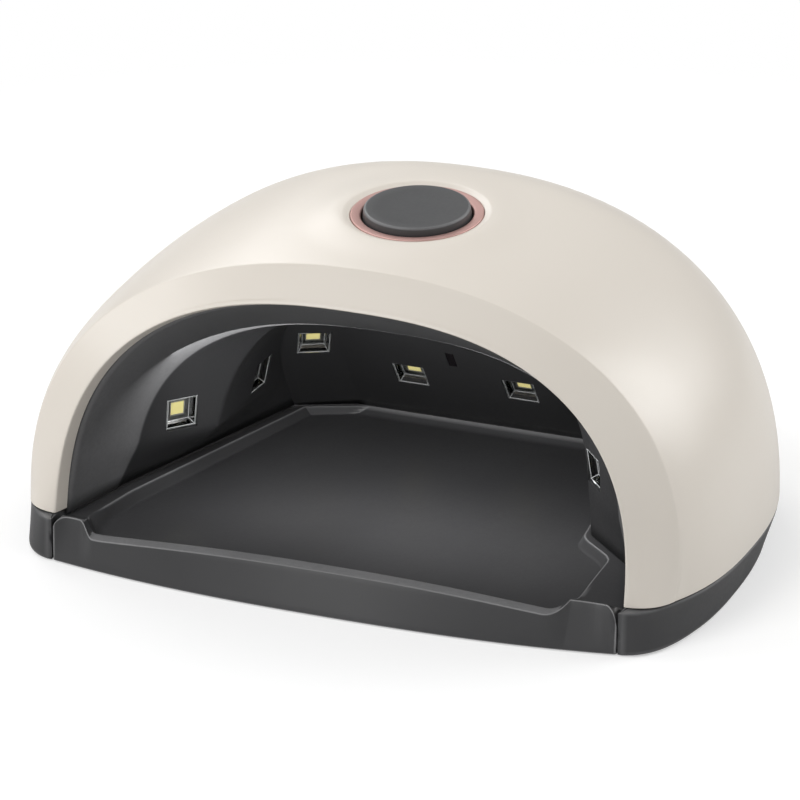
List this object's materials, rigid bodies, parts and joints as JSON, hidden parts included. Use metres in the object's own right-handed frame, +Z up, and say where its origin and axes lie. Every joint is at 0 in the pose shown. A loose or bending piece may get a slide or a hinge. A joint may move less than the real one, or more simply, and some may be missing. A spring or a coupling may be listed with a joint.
{
  "type": "led nail lamp",
  "caption": "Dome-shaped LED nail lamp: faceted dark cavity with funnel lenses, slide-out base tray and a round push button in a trim ring on top.",
  "frame": {"origin": "centre of the bounding box's underside, on the plane that the feet stand on", "axes": "+X to the lamp's right seen from its open front, -Y out of the opening towards the hand, +Z up"},
  "size_m": [0.222, 0.17, 0.1033],
  "materials": {
    "shell_cream": "satin, fine grain",
    "liner_charcoal": "matt",
    "base_grey": "satin",
    "tray_grey": "satin",
    "button_grey": "satin",
    "rose_metal": "satin rose",
    "switch_white": "matt",
    "component_black": "matt",
    "board_green": "gloss solder mask",
    "board_white": "gloss solder mask",
    "capacitor_sleeve": "gloss",
    "lens_clear": "clear, polished",
    "chip_yellow": "phosphor coat",
    "window_dark": "gloss",
    "screw_steel": "zinc plated",
    "magnet_nickel": "nickel plated",
    "foot_rubber": "matt"
  },
  "bodies": {
    "lamp": {"top_shell": "shell_cream", "inner_liner": "liner_charcoal", "base_ring": "base_grey", "button_trim_ring": "rose_metal", "switch_body": "component_black", "control_board": "board_green", "control_chip": "component_black", "capacitor": "capacitor_sleeve", "lens_left_front": "lens_clear", "lens_left_side": "lens_clear", "lens_left_corner": "lens_clear", "lens_left_rear": "lens_clear", "lens_right_rear": "lens_clear", "lens_right_corner": "lens_clear", "lens_right_side": "lens_clear", "lens_right_front": "lens_clear", "led_left_front": "chip_yellow", "led_left_side": "chip_yellow", "led_left_corner": "chip_yellow", "led_left_rear": "chip_yellow", "led_right_rear": "chip_yellow", "led_right_corner": "chip_yellow", "led_right_side": "chip_yellow", "led_right_front": "chip_yellow", "board_left_front": "board_white", "board_left_side": "board_white", "board_left_corner": "board_white", "board_rear": "board_white", "board_right_corner": "board_white", "board_right_side": "board_white", "board_right_front": "board_white", "sensor_window": "window_dark", "hand_sensor": "component_black", "dc_inlet": "component_black", "body_screws": "screw_steel", "board_screws": "screw_steel", "body_feet": "foot_rubber", "body_magnets": "magnet_nickel"},
    "tray": {"base_tray": "tray_grey", "tray_feet": "foot_rubber", "tray_magnets": "magnet_nickel"},
    "button": {"power_button": "button_grey"},
    "switch": {"switch_plunger": "switch_white"}
  },
  "joints": [
    {"name": "tray_slide", "type": "slide", "parent": "lamp", "child": "tray", "axis": [0, -1, 0], "range_m": [0, 0.125]},
    {"name": "button_press", "type": "slide", "parent": "lamp", "child": "button", "axis": [0, 0.0698, -0.9976], "range_m": [0, 0.0005], "stiffness_N_per_m": 800},
    {"name": "switch_press", "type": "slide", "parent": "lamp", "child": "switch", "axis": [0, 0.0698, -0.9976], "range_m": [0, 0.0004]}
  ],
  "couplings": [
    {"joint": "switch_press", "follows": "button_press", "ratio": 0.8}
  ]
}
